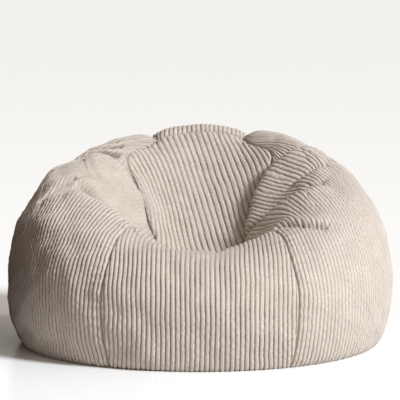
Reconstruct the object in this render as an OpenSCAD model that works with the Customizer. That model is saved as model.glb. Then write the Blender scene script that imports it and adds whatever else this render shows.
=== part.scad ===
// Bean bag chair: a squat round floor chair with a sat-in hollow, a low front rim and a high back.
// The cover is sewn from six panels; a zip runs in the rear of the base seam; a liner holds the beads.
// Units are millimetres, +Z is up and the sitter faces -Y.

/* [Overall size] */
// widest half width, across the arms
half_width = 475; // [430:1:520]
// widest half depth, front to back
half_depth = 437.5; // [400:0.5:465]
// how far the floor line is tucked in under the widest line
floor_tuck = 52.5; // [40:0.5:70]
// height of the widest line above the floor
widest_height = 150; // [120:1:180]

/* [Rim] */
// height of the front rim
front_rim_height = 268; // [250:1:300]
// height of the arms
arm_height = 425; // [380:1:460]
// height of the back
back_height = 508; // [480:1:540]
// distance of the front and arm rims from the centre line
rim_radius = 300; // [280:1:315]
// distance of the back rim from the centre line
back_rim_radius = 250; // [230:1:270]

/* [Seat hollow] */
// height of the lowest point of the seat
seat_height = 218; // [200:1:235]
// how far the lowest point lies in front of the centre
seat_forward = 90; // [60:1:110]
// how flat the bottom of the hollow is
seat_flatness = 1.3; // [1.1:0.05:1.5]

/* [Panels and seams] */
// thickness of the corduroy cover
cover_thick = 3; // [2:0.5:4]
// angle of the front seams at the floor, from straight ahead
front_seam_angle = 31; // [28:0.1:38]
// angle of the rear seams at the base seam, from straight behind
rear_seam_angle = 38; // [36.5:0.5:40]
// half width of a folded seam
seam_half_width = 2.8; // [2:0.1:3]
// half gap that a seam fills between two panels
seam_half_gap = 3.8; // [3.6:0.1:4.2]
// how far a seam stands proud of the cover
seam_proud = 0.8; // [0:0.1:1.5]

/* [Zip] */
// height of the zip above the floor
zip_height = 50; // [44:1:60]
// half of the zip's angle round the rear
zip_half_angle = 33; // [25:0.5:34]
// half width of the opening that the zip closes
zip_half_gap = 12.5; // [11:0.5:14]
// length of the slider along the zip
slider_length = 13; // [10:0.5:16]
// length of the pull tab from its pin
tab_length = 30; // [20:1:36]

/* [Inside] */
// depth of the liner's outer face under the cover's outer face
liner_depth = 7.4; // [7.4:0.1:10]
// thickness of the liner
liner_thick = 1; // [0.8:0.1:1.5]
// gap between the liner and the beads
fill_gap = 0.8; // [0.6:0.1:2]
// radius of the filling mouth under the liner
mouth_radius = 60; // [50:1:80]

/* [Hidden] */

cord_color = [0.76, 0.71, 0.66];
seam_color = [0.66, 0.60, 0.54];
tape_color = [0.62, 0.56, 0.50];
coil_color = [0.80, 0.78, 0.74];
metal_color = [0.62, 0.62, 0.63];
liner_color = [0.90, 0.90, 0.89];
bead_color = [0.97, 0.97, 0.97];

// the surface is laid out on a disc: radius 0 is the lowest point of the seat, crest_r is the rim,
// widest_r is the widest line and 1 is the base seam
crest_r = 0.5;
widest_r = 0.8;
arc_steps = 90;
small = 0.002;

function clamp(x, a, b) = min(max(x, a), b);
function ease(x) = let(t = clamp(x, 0, 1)) t * t * (3 - 2 * t);
function unit(v) = v / norm(v);
function from_rear(th) = abs(180 - ((th % 360) + 360) % 360);

// three-point fit round the rim: front, side and back values, with th measured from the front
function round_fit(th, f, s, b) = s - (b - f) / 2 * cos(th) - (s - (f + b) / 2) * pow(cos(th), 2);
function crest_z(th) = round_fit(th, front_rim_height, arm_height, back_height);
function crest_rho(th) = round_fit(th, rim_radius, rim_radius, back_rim_radius);
function wide_rho(th) = let(a = from_rear(th))
  half_depth + (half_width - half_depth) * (a < 90 ? ease((a - 45) / 45) : ease((180 - a) / 90));
function base_rho(th) = wide_rho(th) - floor_tuck;

// the zip's line on the lower rear of the bag
zip_phi = -asin(1 - zip_height / widest_height);
zip_rho = half_depth - floor_tuck + floor_tuck * cos(zip_phi);
zip_tilt = atan2(-sin(zip_phi) / widest_height, cos(zip_phi) / floor_tuck);
zip_r = widest_r - (1 - widest_r) * zip_phi / 90;
arc_mm = 850;
base_half_gap = seam_half_gap + 0.7;

// the base seam lies on the floor line, and rises to the zip round the rear
function seam_r(th) = 1 - (1 - zip_r) * (1 - ease((from_rear(th) - 40) / 30));

// meridian of the bag at angle th: [distance from the axis, height, forward shift of the axis]
function profile(th, r) =
  r <= crest_r
  ? let(x = r / crest_r, z1 = crest_z(th))
    [crest_rho(th) * x, seat_height + (z1 - seat_height) * (1 - cos(180 * pow(x, seat_flatness))) / 2,
     -seat_forward * pow(1 - x * x, 2)]
  : r <= widest_r
  ? let(p = 90 * (widest_r - r) / (widest_r - crest_r), a = wide_rho(th), c = crest_rho(th))
    [c + (a - c) * cos(p), widest_height + (crest_z(th) - widest_height) * sin(p), 0]
  : let(p = 90 * (r - widest_r) / (1 - widest_r), a = base_rho(th))
    [a + floor_tuck * cos(p), widest_height * (1 - sin(p)), 0];

function bag(th, r) = let(q = profile(th, r)) [q[0] * sin(th), q[2] - q[0] * cos(th), q[1]];

// a point of the disc, where radius 1 follows the base seam
function disc(p) = let(
    s = norm(p),
    th = s < 0.00001 ? 0 : atan2(p[0], -p[1]),
    r = s <= crest_r ? s : crest_r + (s - crest_r) / (1 - crest_r) * (seam_r(th) - crest_r))
  bag(th, r);

function polar(r, th) = [r * sin(th), -r * cos(th)];

// the long side seam on the disc, from the front floor over the rim, through the hollow, over the
// back and down to the rear base seam; left and right are mirrored
seam_line = [
  polar(1, front_seam_angle),
  polar(0.80, front_seam_angle),
  polar(0.65, front_seam_angle + 0.8),
  polar(crest_r, front_seam_angle + 6),
  [0.225, -0.18],
  [0.180, 0.04],
  [0.260, 0.160],
  [0.325, 0.250],
  polar(0.45, 152),
  polar(0.62, 151),
  polar(0.80, 147),
  polar(1, 180 - rear_seam_angle)
];
seam_end = len(seam_line) - 1;
front_crest_k = 3;
seat_k = 5;
back_crest_k = 8;

function spline(pts, k) = let(
    n = len(pts) - 1,
    i = min(floor(k), n - 1),
    t = k - i,
    p1 = pts[i],
    p2 = pts[i + 1],
    p0 = i > 0 ? pts[i - 1] : 2 * p1 - p2,
    p3 = i + 2 <= n ? pts[i + 2] : 2 * p2 - p1)
  0.5 * (2 * p1 + (p2 - p0) * t + (2 * p0 - 5 * p1 + 4 * p2 - p3) * t * t
    + (3 * p1 - p0 - 3 * p2 + p3) * t * t * t);

// the floor ends of the seam stay on the base seam
function seam_at(k) = spline(seam_line, clamp(k, 0, seam_end));

// how straight a row of the centre strip is: 0 follows the rim, 1 runs straight across the seat
function straight(k) = k < seat_k
  ? ease((k - front_crest_k) / (seat_k - front_crest_k))
  : 1 - ease((k - seat_k) / (back_crest_k - seat_k));

// centre strip: w from -1 at the left seam to 1 at the right seam
function strip_disc(k, w) = let(
    s = seam_at(k),
    th = atan2(s[0], -s[1]),
    a = k < seat_k ? w * th : 180 - w * (180 - th),
    m = straight(k))
  (1 - m) * polar(norm(s), a) + m * [w * s[0], s[1]];
function strip(k, w) = disc(strip_disc(k, w));

// slopes of the surface over the disc, its outward normal, and the step on the disc that moves a
// point by a given vector along the surface
disc_h = 0.0002;
function disc_x(p) = (disc(p + [disc_h, 0]) - disc(p - [disc_h, 0])) / (2 * disc_h);
function disc_y(p) = (disc(p + [0, disc_h]) - disc(p - [0, disc_h])) / (2 * disc_h);
function disc_n(p) = unit(cross(disc_x(p), disc_y(p)));
function disc_step(p, v) = let(
    x = disc_x(p), y = disc_y(p),
    a = x * x, b = x * y, c = y * y, d = a * c - b * b,
    e = x * v, f = y * v)
  [(c * e - b * f) / d, (a * f - b * e) / d];

// the right side panel's sewn edge: the side seam moved outwards by half the seam's gap
function side_edge(k) = let(
    p = seam_at(k),
    q = seam_at(k + 0.01) - seam_at(k - 0.01),
    t = unit(disc_x(p) * q[0] + disc_y(p) * q[1]),
    out = cross(t, disc_n(p)))
  p + disc_step(p, out * seam_half_gap);

// length of cloth along the meridian, at the base seam, for each unit of the disc's radius
function arc_at(th) = let(q = 90 * (seam_r(th) - widest_r) / (1 - widest_r))
  PI / 2 / (1 - widest_r) * norm([floor_tuck * sin(q), widest_height * cos(q)]);

// how much a gap square to the base seam takes up along the meridian, where the seam rises
function rise(th) = let(k = arc_at(th) * (seam_r(th + 0.5) - seam_r(th - 0.5)) / (half_depth * PI / 180))
  sqrt(1 + k * k);

// the gap along the base seam as a share of the disc's radius
function gap_r(th) = base_gap(th) * rise(th) / arc_at(th) * (1 - crest_r) / (seam_r(th) - crest_r);
function above_base(th) = polar(1 - gap_r(th), th);

side_k0 = gap_r(front_seam_angle) * 5;
side_k1 = seam_end - gap_r(180 - rear_seam_angle) * 5;
side_b0 = side_edge(side_k0);
side_b1 = side_edge(side_k1);
side_a0 = atan2(side_b0[0], -side_b0[1]);
side_a1 = atan2(side_b1[0], -side_b1[1]);

// side panel: u from the front seam to the rear seam, v from the base seam to the hollow
function side_disc(u, v) = let(
    b = above_base(side_a0 + u * (side_a1 - side_a0)),
    b0 = above_base(side_a0), b1 = above_base(side_a1),
    t = side_edge(front_crest_k + u * (back_crest_k - front_crest_k)),
    t0 = side_edge(front_crest_k), t1 = side_edge(back_crest_k),
    l = side_edge(side_k0 + (front_crest_k - side_k0) * v) + (1 - v) * (b0 - side_b0),
    r = side_edge(side_k1 - (side_k1 - back_crest_k) * v) + (1 - v) * (b1 - side_b1))
  (1 - v) * b + v * t + (1 - u) * l + u * r
    - ((1 - u) * (1 - v) * b0 + u * (1 - v) * b1 + (1 - u) * v * t0 + u * v * t1);

// every panel of the centre strip as a patch of u and v from 0 to 1
function patch(id, u, v) =
  id == "front" ? strip(seat_k * v, 2 * u - 1) :
  id == "seat" ? strip(seat_k + (back_crest_k - seat_k) * v, 2 * u - 1) :
  strip(seam_end - (seam_end - back_crest_k) * v, 1 - 2 * u);

function patch_u(id, u, v) = let(a = clamp(u - small, 0, 1), b = clamp(u + small, 0, 1))
  (patch(id, b, v) - patch(id, a, v)) / (b - a);
function patch_v(id, u, v) = let(a = clamp(v - small, 0, 1), b = clamp(v + small, 0, 1))
  (patch(id, u, b) - patch(id, u, a)) / (b - a);
function patch_n(id, u, v) = unit(cross(patch_u(id, u, v), patch_v(id, u, v)));

// share of u or v that a gap in millimetres takes up, square to the edge
function off_edge(p, e, t) = norm(cross(p - e, t));
function inset_u(id, u, v, gap) = let(
    s = u < 0.5 ? 1 : -1,
    e = patch(id, u, v),
    t = unit(patch_v(id, u, v)),
    a = gap / norm(cross(patch_u(id, u, v), t)),
    b = a * gap / off_edge(patch(id, u + s * a, v), e, t))
  b * gap / off_edge(patch(id, u + s * b, v), e, t);
function inset_v(id, u, v, gap) = let(
    s = v < 0.5 ? 1 : -1,
    e = patch(id, u, v),
    t = unit(patch_u(id, u, v)),
    a = gap / norm(cross(patch_v(id, u, v), t)),
    b = a * gap / off_edge(patch(id, u, v + s * a), e, t))
  b * gap / off_edge(patch(id, u, v + s * b), e, t);

// the gap at the base seam opens round the zip
function base_gap(th) = let(a = from_rear(th))
  base_half_gap + (zip_half_gap - base_half_gap) * (1 - ease((a - zip_half_angle - 0.8) / 2.6));
function point_angle(p) = atan2(p[0], -p[1]);

function inset_patch(id, u, v) = let(
    a = inset_u(id, 0, v, seam_half_gap),
    b = inset_u(id, 1, v, seam_half_gap),
    u1 = a + u * (1 - a - b),
    g = id == "seat" ? seam_half_gap : base_gap(point_angle(patch(id, u1, 0))),
    c = inset_v(id, u1, 0, g),
    d = inset_v(id, u1, 1, seam_half_gap))
  [u1, c + v * (1 - c - d)];

function flat(a) = [for (r = a) for (p = r) p];

// closed wall between an outer and an inner grid of points
module wall(outer, inner) {
  n = len(outer);
  m = len(outer[0]);
  o = n * m;
  pts = concat(flat(outer), flat(inner));
  function at(i, j) = i * m + j;
  faces = concat(
    [for (i = [0:n - 2], j = [0:m - 2], h = [0, 1])
      h == 0 ? [at(i, j), at(i + 1, j), at(i + 1, j + 1)] : [at(i, j), at(i + 1, j + 1), at(i, j + 1)]],
    [for (i = [0:n - 2], j = [0:m - 2], h = [0, 1])
      h == 0 ? [o + at(i, j), o + at(i + 1, j + 1), o + at(i + 1, j)]
             : [o + at(i, j), o + at(i, j + 1), o + at(i + 1, j + 1)]],
    [for (j = [0:m - 2], h = [0, 1])
      h == 0 ? [at(0, j), at(0, j + 1), o + at(0, j + 1)] : [at(0, j), o + at(0, j + 1), o + at(0, j)]],
    [for (j = [0:m - 2], h = [0, 1])
      h == 0 ? [at(n - 1, j), o + at(n - 1, j + 1), at(n - 1, j + 1)]
             : [at(n - 1, j), o + at(n - 1, j), o + at(n - 1, j + 1)]],
    [for (i = [0:n - 2], h = [0, 1])
      h == 0 ? [at(i, 0), o + at(i + 1, 0), at(i + 1, 0)] : [at(i, 0), o + at(i, 0), o + at(i + 1, 0)]],
    [for (i = [0:n - 2], h = [0, 1])
      h == 0 ? [at(i, m - 1), at(i + 1, m - 1), o + at(i + 1, m - 1)]
             : [at(i, m - 1), o + at(i + 1, m - 1), o + at(i, m - 1)]]);
  polyhedron(points = pts, faces = faces, convexity = 8);
}

module panel(id, nu, nv) {
  grid = [for (j = [0:nv]) [for (i = [0:nu])
    let(q = inset_patch(id, i / nu, j / nv)) [patch(id, q[0], q[1]), patch_n(id, q[0], q[1])]]];
  color(cord_color)
    wall([for (r = grid) [for (p = r) p[0]]], [for (r = grid) [for (p = r) p[0] - cover_thick * p[1]]]);
}

strip_columns = 16;
step_k = 0.2;

module front_panel() { panel("front", strip_columns, seat_k / step_k); }
module seat_back_panel() { panel("seat", strip_columns, (back_crest_k - seat_k) / step_k); }
module rear_panel() { panel("rear", strip_columns, (seam_end - back_crest_k) / step_k); }
module side_panel() {
  // the columns close up towards the rear, where the base seam rises
  nu = 36;
  nv = front_crest_k / step_k;
  grid = [for (j = [0:nv]) [for (i = [0:nu])
    let(q = side_disc(1 - pow(1 - i / nu, 1.35), j / nv)) [disc(q), disc_n(q)]]];
  color(cord_color)
    wall([for (r = grid) [for (p = r) p[0]]], [for (r = grid) [for (p = r) p[0] - cover_thick * p[1]]]);
}
module right_side_panel() { side_panel(); }
module left_side_panel() { mirror([1, 0, 0]) side_panel(); }

// a point on the underside, by distance from the centre measured along the cloth
function under(th, l) = l <= base_rho(th)
  ? [l * sin(th), -l * cos(th), 0]
  : bag(th, 1 - (l - base_rho(th)) / arc_mm);
function under_edge(th) = let(
    e = arc_mm * (1 - seam_r(th)),
    g = base_gap(th) * rise(th),
    real = e * arc_at(th) / arc_mm)
  base_rho(th) + (real >= g ? e - g * arc_mm / arc_at(th) : real - g);
function under_n(th, l) = l <= base_rho(th) + 0.5 ? [0, 0, -1]
  : unit(cross(under(th, l + 0.5) - under(th, l - 0.5), under(th - 0.1, l) - under(th + 0.1, l)));

base_sides = 96;
base_rings = [0.45, 0.76, 0.81, 0.84, 0.87, 0.90, 0.935, 0.97, 1];

module base_panel() {
  m = base_sides;
  n = len(base_rings);
  rows = [for (q = base_rings) [for (i = [0:m - 1])
    let(th = 360 * i / m, l = under_edge(th) * q) [under(th, l), under_n(th, l)]]];
  o = n * m + 1;
  pts = concat(
    [[0, 0, 0]], [for (r = rows) for (p = r) p[0]],
    [[0, 0, cover_thick]], [for (r = rows) for (p = r) p[0] - cover_thick * p[1]]);
  function at(i, j) = 1 + i * m + j % m;
  faces = concat(
    [for (j = [0:m - 1]) [0, at(0, j), at(0, j + 1)]],
    [for (j = [0:m - 1]) [o, o + at(0, j + 1), o + at(0, j)]],
    [for (i = [0:n - 2], j = [0:m - 1], h = [0, 1])
      h == 0 ? [at(i, j), at(i + 1, j), at(i + 1, j + 1)] : [at(i, j), at(i + 1, j + 1), at(i, j + 1)]],
    [for (i = [0:n - 2], j = [0:m - 1], h = [0, 1])
      h == 0 ? [o + at(i, j), o + at(i + 1, j + 1), o + at(i + 1, j)]
             : [o + at(i, j), o + at(i, j + 1), o + at(i + 1, j + 1)]],
    [for (j = [0:m - 1], h = [0, 1])
      h == 0 ? [at(n - 1, j), o + at(n - 1, j + 1), at(n - 1, j + 1)]
             : [at(n - 1, j), o + at(n - 1, j), o + at(n - 1, j + 1)]]);
  color(cord_color) polyhedron(points = pts, faces = faces, convexity = 8);
}

// a closed bar swept along a line of the surface: line is a list of [point, normal, sideways, lift],
// and a section point is [sideways, outwards, share of the lift]
module swept(line, section) {
  n = len(line);
  m = len(section);
  pts = [for (s = line) for (q = section) s[0] + q[0] * s[2] + (q[1] + q[2] * s[3]) * s[1]];
  faces = concat(
    [for (i = [0:n - 2], j = [0:m - 1], h = [0, 1]) let(j2 = (j + 1) % m)
      h == 0 ? [i * m + j, (i + 1) * m + j2, (i + 1) * m + j] : [i * m + j, i * m + j2, (i + 1) * m + j2]],
    [for (j = [1:m - 2]) [0, j + 1, j]],
    [for (j = [1:m - 2]) let(e = (n - 1) * m) [e, e + j, e + j + 1]]);
  polyhedron(points = pts, faces = faces, convexity = 8);
}

function seam_section() = let(w = seam_half_width, t = cover_thick - 0.1)
  [[-w, -t, 0], [w, -t, 0], [w, -0.4, 0], [w / 2, -0.3, 1], [-w / 2, -0.3, 1], [-w, -0.4, 0]];

// the right seam as [point, normal, sideways], kept clear of the base seam at both ends
function seam_frame(k) = let(
    a = strip(clamp(k - 0.01, 0, seam_end), 1),
    b = strip(clamp(k + 0.01, 0, seam_end), 1),
    c = strip(k, 0.99),
    t = unit(b - a),
    p = strip(k, 1),
    n = unit(cross(p - c, t)))
  [p, n, unit(cross(t, n)), (seam_proud + 0.3) * ease((k - 0.2) / 0.6)];

module side_seam() {
  h = base_half_gap / 170;
  e = zip_half_gap / 170;
  ks = concat([h * 1.5], [for (i = [1:seam_end / step_k - 1]) i * step_k], [seam_end - e * 1.2]);
  color(seam_color) swept([for (k = ks) seam_frame(k)], seam_section());
}
module right_side_seam() { side_seam(); }
module left_side_seam() { mirror([1, 0, 0]) side_seam(); }

// a cross seam of the centre strip at position k
module cross_seam(k) {
  e = seam_half_gap / norm(strip(k, 1) - strip(k, 0));
  line = [for (i = [0:strip_columns]) let(
      w = (2 * i / strip_columns - 1) * (1 - e),
      p = strip(k, w),
      t = unit(strip(k, w + 0.004) - strip(k, w - 0.004)),
      f = strip(k + 0.01, w) - strip(k - 0.01, w),
      n = unit(cross(t, f)))
    [p, n, unit(cross(t, n)), seam_proud + 0.3]];
  color(seam_color) swept(line, seam_section());
}
module seat_seam() { cross_seam(seat_k); }
module top_back_seam() { cross_seam(back_crest_k); }

// base seam: runs round the floor line from one end of the zip to the other
module base_seam() {
  a0 = -(180 - zip_half_angle - 3.8);
  n = 96;
  w = seam_half_width;
  t = cover_thick - 0.1;
  line = [for (i = [0:n]) let(
      th = a0 * (1 - 2 * i / n),
      r = seam_r(th),
      p = bag(th, r),
      tn = unit(bag(th + 0.1, seam_r(th + 0.1)) - bag(th - 0.1, seam_r(th - 0.1))),
      up = bag(th, r - 0.001) - p,
      nn = r > 0.9999 ? [0, 0, -1] : unit(cross(tn, up)))
    [p, nn, unit(cross(tn, nn)), 0]];
  color(seam_color) swept(line, [[-w, -t, 0], [w, -t, 0], [w, -0.4, 0], [-w, -0.4, 0]]);
}

// the zip's parts are bands round the rear: s runs up the cloth, n outwards, from the zip's line
function zip_point(q) = [
  zip_rho + q[0] * sin(zip_tilt) + q[1] * cos(zip_tilt),
  zip_height + q[0] * cos(zip_tilt) - q[1] * sin(zip_tilt)];
module band(section, from, to) {
  rotate([0, 0, 90 + from]) rotate_extrude(angle = to - from, $fn = 720)
    polygon([for (q = section) zip_point(q)]);
}
function block(s0, s1, n0, n1) = [[s0, n0], [s1, n0], [s1, n1], [s0, n1]];

coil_angle = zip_half_angle - 0.8;
tape_front = -4.2;
tape_back = -5.3;
coil_front = -1.4;
post_half = 0.5;
coil_near = 0.85;
coil_far = 3.8;

module zip_tape_upper() {
  color(tape_color) band(block(1, 16, tape_back, tape_front), -zip_half_angle, zip_half_angle);
}
module zip_tape_lower() {
  color(tape_color) band(block(-16, -1, tape_back, tape_front), -zip_half_angle, zip_half_angle);
}
function coil_section(side) = [for (q = [
    [coil_near, tape_front + 0.05], [coil_far, tape_front + 0.05], [coil_far, coil_front - 0.8],
    [coil_far - 0.8, coil_front], [coil_near + 0.8, coil_front], [coil_near, coil_front - 0.8]])
  [q[0] * side, q[1]]];
module zip_coil_upper() { color(coil_color) band(coil_section(1), -coil_angle, coil_angle); }
module zip_coil_lower() { color(coil_color) band(coil_section(-1), -coil_angle, coil_angle); }
module zip_stop(from, to) {
  color(metal_color) band(block(-4.4, 4.4, tape_front + 0.05, coil_front + 0.4), from, to);
}
module zip_stop_closed() { zip_stop(zip_half_angle - 0.7, zip_half_angle - 0.1); }
module zip_stop_open() { zip_stop(-zip_half_angle + 0.1, -zip_half_angle + 0.7); }

// the slider rests at the closed end of the zip
slider_half = slider_length / 2 / zip_rho * 180 / PI;
slider_angle = coil_angle - slider_half - 0.15;
pin_height = 3.4;
pin_radius = 1;
top_low = coil_front + 0.4;
top_high = top_low + 1.8;

module at_slider() {
  rotate([0, 0, 90 + slider_angle]) translate([zip_rho, 0, zip_height]) rotate([0, zip_tilt, 0]) children();
}
module zip_slider() {
  a = slider_angle - slider_half;
  b = slider_angle + slider_half;
  color(metal_color) union() {
    band([
      [-5, -6.8], [5, -6.8], [5, -5.75], [post_half, -5.75], [post_half, top_low], [4.4, top_low],
      [4.4, -3.6], [6, -3.6], [6, top_high - 0.5], [5.5, top_high], [-5.5, top_high], [-6, top_high - 0.5],
      [-6, -3.6], [-4.4, -3.6], [-4.4, top_low], [-post_half, top_low], [-post_half, -5.75], [-5, -5.75]
    ], a, b);
    at_slider() {
      for (s = [-1, 1]) translate([0, 0, s > 0 ? 2.6 : -4])
        linear_extrude(1.4) union() {
          translate([pin_height, 0]) circle(r = 1.8, $fn = 48);
          translate([top_high - 0.6, -1.8]) square([pin_height - top_high + 0.6, 3.6]);
        }
      translate([pin_height, 0, -3.6]) cylinder(r = pin_radius, h = 7.2, $fn = 48);
    }
  }
}
module zip_pull_tab() {
  color(metal_color) at_slider() translate([pin_height, 0, 0]) difference() {
    union() {
      translate([0, 0, -2.25]) cylinder(r = 2, h = 4.5, $fn = 48);
      translate([-0.8, -7, -2.25]) cube([1.6, 6, 4.5]);
      translate([-0.8, 0, 0]) rotate([0, 90, 0]) linear_extrude(1.6) difference() {
        union() {
          translate([0, -tab_length + 4.5]) circle(r = 4.5, $fn = 64);
          translate([-4.5, -tab_length + 4.5]) square([9, tab_length - 10.5]);
        }
        translate([0, -tab_length + 5.5]) circle(r = 2.2, $fn = 48);
      }
    }
    translate([0, 0, -3]) cylinder(r = pin_radius + 0.08, h = 6, $fn = 48);
  }
}

// rows of a closed surface under the cover, from the seat down to the floor line
liner_sides = 48;
seat_rows = [for (i = [1:8]) crest_r * i / 8];
outer_rows = [for (i = [1:7]) crest_r + (widest_r - crest_r) * i / 7];
under_rows = [for (i = [1:5]) widest_r + (1 - widest_r) * i / 5];
body_rows = concat(seat_rows, outer_rows, under_rows);

function bag_n(th, r) = let(a = bag(th, r - 0.001), b = bag(th, min(r + 0.001, 1)))
  r > 0.999 ? [0, 0, -1] : unit(cross(b - a, bag(th + 0.1, r) - bag(th - 0.1, r)));
function deep(th, r, d) = bag(th, r) - d * bag_n(th, r);

// grid of one closed skin at depth d: the seat's lowest point, rows, then rings on the underside
function skin_rows(d, rings) = concat(
  [for (r = body_rows) [for (j = [0:liner_sides - 1]) deep(360 * j / liner_sides, r, d)]],
  [for (q = rings) [for (j = [0:liner_sides - 1]) let(th = 360 * j / liner_sides)
    [q(th) * sin(th), -q(th) * cos(th), d]]]);
function skin_low(d) = [0, -seat_forward, seat_height - d];

function around(n, m, o, flip) = [for (i = [0:n - 2], j = [0:m - 1], h = [0, 1]) let(
    a = o + i * m + j, b = o + i * m + (j + 1) % m, c = a + m, e = b + m,
    f = h == 0 ? [a, b, e] : [a, e, c])
  flip ? [f[2], f[1], f[0]] : f];

module bead_fill() {
  d = liner_depth + liner_thick + fill_gap;
  rows = skin_rows(d, [function(th) base_rho(th) * 0.5]);
  n = len(rows);
  m = liner_sides;
  last = 1 + n * m;
  pts = concat([skin_low(d)], flat(rows), [[0, 0, d]]);
  faces = concat(
    [for (j = [0:m - 1]) [0, 1 + (j + 1) % m, 1 + j]],
    around(n, m, 1, false),
    [for (j = [0:m - 1]) [last, last - m + j, last - m + (j + 1) % m]]);
  color(bead_color) polyhedron(points = pts, faces = faces, convexity = 8);
}

module inner_liner() {
  rings = [function(th) base_rho(th) * 0.6, function(th) mouth_radius];
  ro = skin_rows(liner_depth, rings);
  ri = skin_rows(liner_depth + liner_thick, rings);
  n = len(ro);
  m = liner_sides;
  o = 1 + n * m;
  pts = concat([skin_low(liner_depth)], flat(ro), [skin_low(liner_depth + liner_thick)], flat(ri));
  e = (n - 1) * m + 1;
  faces = concat(
    [for (j = [0:m - 1]) [0, 1 + (j + 1) % m, 1 + j]],
    around(n, m, 1, false),
    [for (j = [0:m - 1]) [o, o + 1 + j, o + 1 + (j + 1) % m]],
    around(n, m, o + 1, true),
    [for (j = [0:m - 1], h = [0, 1]) let(j2 = (j + 1) % m)
      h == 0 ? [e + j, e + j2, o + e + j2] : [e + j, o + e + j2, o + e + j]]);
  color(liner_color) polyhedron(points = pts, faces = faces, convexity = 8);
}

// flat fastener strips that close the liner's filling mouth
strip_half = [mouth_radius + 12, 12.5];
module fastener(z, t) {
  color(liner_color) translate([0, 0, z]) linear_extrude(t)
    translate([-strip_half[0], -strip_half[1]]) square(2 * strip_half);
}
module liner_hook_strip() { fastener(cover_thick + 0.4, 1.6); }
module liner_loop_strip() { fastener(cover_thick + 2.3, 1.6); }

front_panel();
left_side_panel();
right_side_panel();
seat_back_panel();
rear_panel();
base_panel();
left_side_seam();
right_side_seam();
seat_seam();
top_back_seam();
base_seam();
zip_tape_upper();
zip_tape_lower();
zip_coil_upper();
zip_coil_lower();
zip_stop_closed();
zip_stop_open();
zip_slider();
zip_pull_tab();
inner_liner();
liner_hook_strip();
liner_loop_strip();
bead_fill();
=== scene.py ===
"""Looks of the bean bag chair: the cover's simulated shape, its cords, seams, zip, liner and beads."""

import math

import bpy
import numpy as np
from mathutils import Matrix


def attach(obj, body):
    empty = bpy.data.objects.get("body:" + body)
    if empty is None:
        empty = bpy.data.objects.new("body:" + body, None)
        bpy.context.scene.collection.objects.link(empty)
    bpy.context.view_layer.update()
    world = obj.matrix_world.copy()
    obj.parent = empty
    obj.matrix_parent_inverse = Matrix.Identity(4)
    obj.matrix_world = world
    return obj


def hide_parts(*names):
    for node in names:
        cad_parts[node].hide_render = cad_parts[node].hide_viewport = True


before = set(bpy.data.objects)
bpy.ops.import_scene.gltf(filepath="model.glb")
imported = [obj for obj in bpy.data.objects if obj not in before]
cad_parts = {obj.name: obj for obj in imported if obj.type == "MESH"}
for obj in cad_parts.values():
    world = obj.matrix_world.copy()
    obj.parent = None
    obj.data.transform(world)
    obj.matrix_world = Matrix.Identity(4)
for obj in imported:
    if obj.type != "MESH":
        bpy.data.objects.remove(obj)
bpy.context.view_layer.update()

# ---------------------------------------------------------------- sizes, in metres
HALF_WIDTH = 0.475
HALF_DEPTH = 0.4375
FLOOR_TUCK = 0.0525
WIDEST_HEIGHT = 0.150
FRONT_RIM_HEIGHT = 0.268
ARM_HEIGHT = 0.425
BACK_HEIGHT = 0.508
RIM_RADIUS = 0.300
BACK_RIM_RADIUS = 0.250
SEAT_HEIGHT = 0.218
SEAT_FORWARD = 0.090
SEAT_FLATNESS = 1.3
FRONT_SEAM_ANGLE = 31.0
REAR_SEAM_ANGLE = 38.0
ZIP_HEIGHT = 0.050
ZIP_HALF_ANGLE = 33.0
ZIP_HALF_GAP = 0.0125
CREST_R = 0.5  # the rim's crest on the disc
WIDEST_R = 0.8  # the widest line on the disc
LOWER_ARC = 0.85  # metres of cloth per unit of the disc's radius under the widest line
FLOOR_CLEAR = 0.0003
CLOTH_FRAMES = 14
CLOTH_CAP = 0.016  # how far the simulation may move a point
CORD_PITCH = 0.0115
CORD_HEIGHT = 0.0041
SEAT_STRETCH = 1.25  # the sitter's weight has spread the seat-back's cords
UNDERSIZE = 0.0045  # how far the cover's base lies under the tops of its cords and swells
SEAM_DEPTH = 0.0055
CREASE_WIDTH = 0.0072
SEAM_STEP = 0.004  # from ring to ring of the swept seams
STITCH_BESIDE = 0.0060
STITCH_LENGTH = 0.0045
STITCH_PITCH = 0.0085
HEM_BESIDE = 0.0185  # from the zip's middle to the middle of each hem
COIL_PITCH = 0.0018
LINER_DEPTH = 0.0088
BEAD_DEPTH = 0.0105


# ---------------------------------------------------------------- small helpers
def ease(x):
    t = np.clip(x, 0.0, 1.0)
    return t * t * (3 - 2 * t)


def unit(v):
    return v / np.maximum(np.linalg.norm(v, axis=-1, keepdims=True), 1e-12)


def from_rear(th):
    """Degrees from straight behind, for angles th measured from the front."""
    return np.abs(180.0 - np.mod(th, 360.0))


def gauss(x, w):
    """Bell curve: 1 at x = 0, and exp(-1) at x = w."""
    return np.exp(-((x / w) ** 2))


# ---------------------------------------------------------------- the bag's rest surface
def round_fit(th, f, s, b):
    """A value round the plan that is f in front, s at the sides and b behind: a parabola in the
    cosine of the angle."""
    c = np.cos(np.radians(th))
    return s - (b - f) / 2 * c - (s - (f + b) / 2) * c * c


def crest_z(th):
    return round_fit(th, FRONT_RIM_HEIGHT, ARM_HEIGHT, BACK_HEIGHT)


def crest_rho(th):
    return round_fit(th, RIM_RADIUS, RIM_RADIUS, BACK_RIM_RADIUS)


def wide_rho(th):
    a = from_rear(th)
    k = np.where(a < 90, ease((a - 45) / 45), ease((180 - a) / 90))
    return HALF_DEPTH + (HALF_WIDTH - HALF_DEPTH) * k


def base_rho(th):
    return wide_rho(th) - FLOOR_TUCK


ZIP_PHI = -math.degrees(math.asin(1 - ZIP_HEIGHT / WIDEST_HEIGHT))
ZIP_R = WIDEST_R - (1 - WIDEST_R) * ZIP_PHI / 90


def seam_r(th):
    return 1 - (1 - ZIP_R) * (1 - ease((from_rear(th) - 40) / 30))


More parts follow.
